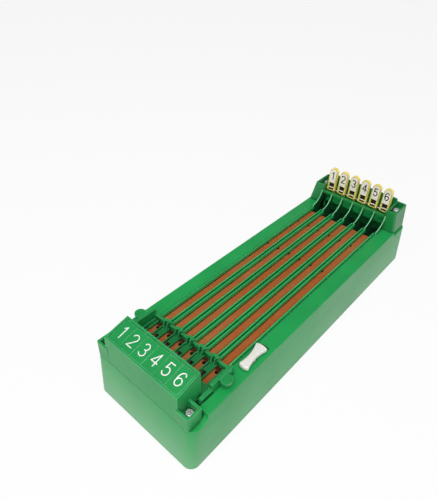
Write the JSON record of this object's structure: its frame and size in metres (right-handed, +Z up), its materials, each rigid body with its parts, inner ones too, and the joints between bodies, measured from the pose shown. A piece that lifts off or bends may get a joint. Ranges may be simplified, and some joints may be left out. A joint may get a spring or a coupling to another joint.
{
  "type": "crank horse race game",
  "caption": "Tabletop horse race game: green case with walled lanes, a lifting start gate, a wind-up shaking track, numbered stalls and tipping finish flags.",
  "frame": {"origin": "middle of the footprint, on the surface that the feet stand on", "axes": "+Z up, +Y along the lanes from the start gate to the finish flags, +X towards lane 6 and the winding key"},
  "size_m": [0.119, 0.38, 0.105],
  "materials": {
    "green_plastic": "moulded, satin gloss",
    "base_plastic": "moulded, matt",
    "foot_rubber": "matt",
    "screw_steel": "bright zinc plated",
    "spring_steel": "rolled",
    "plate_steel": "stamped",
    "gear_nylon": "moulded, matt",
    "board_plastic": "moulded, matt",
    "track_felt": "brown flocked strip",
    "yellow_plastic": "moulded, glossy",
    "plate_plastic": "cream, glossy",
    "white_plastic": "moulded, glossy"
  },
  "bodies": {
    "base": {"housing": "green_plastic", "bottom_plate": "base_plastic", "feet": "foot_rubber", "number_block": "green_plastic", "finish_block": "green_plastic", "finish_floor": "green_plastic", "finish_ribs": "green_plastic", "start_stalls": "green_plastic", "lane_rail_left": "green_plastic", "lane_rail_right": "green_plastic", "lane_divider_1": "green_plastic", "lane_divider_2": "green_plastic", "lane_divider_3": "green_plastic", "lane_divider_4": "green_plastic", "lane_divider_5": "green_plastic", "flag_axle": "spring_steel", "gate_pins": "green_plastic", "track_spring_near": "spring_steel", "track_spring_far": "spring_steel", "track_posts": "board_plastic", "motor_lower_plate": "plate_steel", "motor_upper_plate": "plate_steel", "motor_pillars": "plate_steel", "block_screws": "screw_steel", "base_screws": "screw_steel"},
    "key": {"winding_key": "white_plastic", "winding_shaft": "spring_steel", "winding_pinion": "gear_nylon"},
    "barrel": {"barrel_gear": "gear_nylon", "spring_barrel": "plate_steel", "mainspring": "spring_steel", "barrel_arbor": "spring_steel"},
    "intermediate": {"intermediate_wheel": "gear_nylon", "intermediate_pinion": "gear_nylon", "intermediate_arbor": "spring_steel"},
    "cam": {"cam_pinion": "gear_nylon", "shaker_cam": "gear_nylon", "cam_arbor": "spring_steel"},
    "track": {"track_board": "board_plastic", "track_fork": "board_plastic", "lane_mat_1": "track_felt", "lane_mat_2": "track_felt", "lane_mat_3": "track_felt", "lane_mat_4": "track_felt", "lane_mat_5": "track_felt", "lane_mat_6": "track_felt"},
    "gate": {"start_gate": "green_plastic"},
    "flag_1": {"finish_flag_1": "yellow_plastic", "flag_plate_1": "plate_plastic"},
    "flag_2": {"finish_flag_2": "yellow_plastic", "flag_plate_2": "plate_plastic"},
    "flag_3": {"finish_flag_3": "yellow_plastic", "flag_plate_3": "plate_plastic"},
    "flag_4": {"finish_flag_4": "yellow_plastic", "flag_plate_4": "plate_plastic"},
    "flag_5": {"finish_flag_5": "yellow_plastic", "flag_plate_5": "plate_plastic"},
    "flag_6": {"finish_flag_6": "yellow_plastic", "flag_plate_6": "plate_plastic"}
  },
  "joints": [
    {"name": "key_turn", "type": "hinge", "parent": "base", "child": "key", "pos_m": [0.0502, -0.1075, 0.061], "axis": [0, 0, 1], "continuous": true},
    {"name": "barrel_turn", "type": "hinge", "parent": "base", "child": "barrel", "pos_m": [0.0262, -0.1075, 0.018], "axis": [0, 0, 1], "continuous": true},
    {"name": "intermediate_turn", "type": "hinge", "parent": "base", "child": "intermediate", "pos_m": [0.0142, -0.08672, 0.02], "axis": [0, 0, 1], "continuous": true},
    {"name": "cam_turn", "type": "hinge", "parent": "base", "child": "cam", "pos_m": [0.00001, -0.0715, 0.032], "axis": [0, 0, 1], "continuous": true},
    {"name": "track_shake", "type": "slide", "parent": "base", "child": "track", "axis": [0, 1, 0], "range_m": [-0.0006, 0.0006], "stiffness_N_per_m": 600},
    {"name": "gate_lift", "type": "hinge", "parent": "base", "child": "gate", "pos_m": [0, -0.164, 0.056], "axis": [1, 0, 0], "range_deg": [0, 35]},
    {"name": "flag_1_tip", "type": "hinge", "parent": "base", "child": "flag_1", "pos_m": [-0.0355, 0.1591, 0.0764], "axis": [-1, 0, 0], "range_deg": [0, 55]},
    {"name": "flag_2_tip", "type": "hinge", "parent": "base", "child": "flag_2", "pos_m": [-0.0213, 0.1591, 0.0764], "axis": [-1, 0, 0], "range_deg": [0, 55]},
    {"name": "flag_3_tip", "type": "hinge", "parent": "base", "child": "flag_3", "pos_m": [-0.0071, 0.1591, 0.0764], "axis": [-1, 0, 0], "range_deg": [0, 55]},
    {"name": "flag_4_tip", "type": "hinge", "parent": "base", "child": "flag_4", "pos_m": [0.0071, 0.1591, 0.0764], "axis": [-1, 0, 0], "range_deg": [0, 55]},
    {"name": "flag_5_tip", "type": "hinge", "parent": "base", "child": "flag_5", "pos_m": [0.0213, 0.1591, 0.0764], "axis": [-1, 0, 0], "range_deg": [0, 55]},
    {"name": "flag_6_tip", "type": "hinge", "parent": "base", "child": "flag_6", "pos_m": [0.0355, 0.1591, 0.0764], "axis": [-1, 0, 0], "range_deg": [0, 55]}
  ],
  "couplings": [
    {"joint": "barrel_turn", "follows": "key_turn", "ratio": -0.25},
    {"joint": "intermediate_turn", "follows": "key_turn", "ratio": 1},
    {"joint": "cam_turn", "follows": "key_turn", "ratio": -3.3333}
  ]
}
